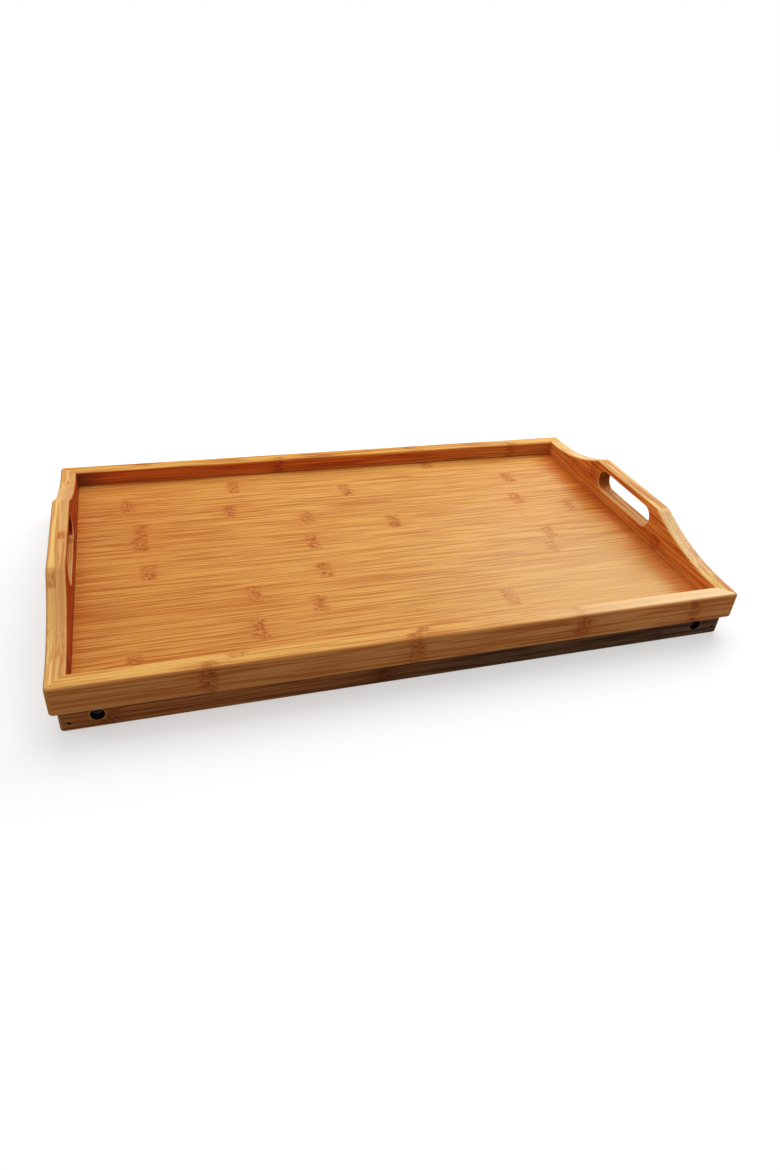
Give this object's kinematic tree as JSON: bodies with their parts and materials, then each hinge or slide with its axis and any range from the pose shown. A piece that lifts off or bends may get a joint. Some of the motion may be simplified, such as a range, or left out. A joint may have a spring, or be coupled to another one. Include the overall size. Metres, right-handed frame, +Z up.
{
  "type": "bed tray",
  "caption": "Low rectangular bamboo tray with raised, slotted handle ends and two leg frames that fold flat beneath it.",
  "frame": {"origin": "on the surface that the folded tray rests on, under the centre of the tray", "axes": "+X along the tray towards its right handle, +Y across it towards the back, +Z up"},
  "size_m": [0.5, 0.305, 0.0615],
  "materials": {
    "bamboo": "honey-orange bamboo under satin clear lacquer",
    "panel_bamboo": "bamboo strips glued edge to edge, under satin clear lacquer",
    "dark_steel": "black-oxide steel",
    "zinc": "bright zinc-plated steel",
    "bright_steel": "plain steel brad",
    "nylon": "natural nylon washer"
  },
  "bodies": {
    "tray": {"back_rail": "bamboo", "back_runner": "bamboo", "base_panel": "panel_bamboo", "brad_back_left": "bright_steel", "brad_back_right": "bright_steel", "brad_front_left": "bright_steel", "brad_front_right": "bright_steel", "front_rail": "bamboo", "front_runner": "bamboo", "left_end_batten": "bamboo", "left_handle_end": "bamboo", "lock_nut_back_left": "zinc", "lock_nut_back_right": "zinc", "lock_nut_front_left": "zinc", "lock_nut_front_right": "zinc", "pivot_screw_back_left": "dark_steel", "pivot_screw_back_right": "dark_steel", "pivot_screw_front_left": "dark_steel", "pivot_screw_front_right": "dark_steel", "right_end_batten": "bamboo", "right_handle_end": "bamboo", "spacer_back_left": "nylon", "spacer_back_right": "nylon", "spacer_front_left": "nylon", "spacer_front_right": "nylon", "washer_back_left": "zinc", "washer_back_right": "zinc", "washer_front_left": "zinc", "washer_front_right": "zinc"},
    "left_leg_frame": {"left_bar_screw_back_1": "zinc", "left_bar_screw_back_2": "zinc", "left_bar_screw_front_1": "zinc", "left_bar_screw_front_2": "zinc", "left_cross_bar": "bamboo", "left_leg_back": "bamboo", "left_leg_front": "bamboo"},
    "right_leg_frame": {"right_bar_screw_back_1": "zinc", "right_bar_screw_back_2": "zinc", "right_bar_screw_front_1": "zinc", "right_bar_screw_front_2": "zinc", "right_cross_bar": "bamboo", "right_leg_back": "bamboo", "right_leg_front": "bamboo"}
  },
  "joints": [
    {"name": "left_leg_fold", "type": "hinge", "parent": "tray", "child": "left_leg_frame", "pos_m": [-0.22293, 0, 0.0112], "axis": [0, 1, 0], "range_deg": [0, 100]},
    {"name": "right_leg_fold", "type": "hinge", "parent": "tray", "child": "right_leg_frame", "pos_m": [0.22293, 0, 0.0112], "axis": [0, -1, 0], "range_deg": [0, 100]}
  ]
}
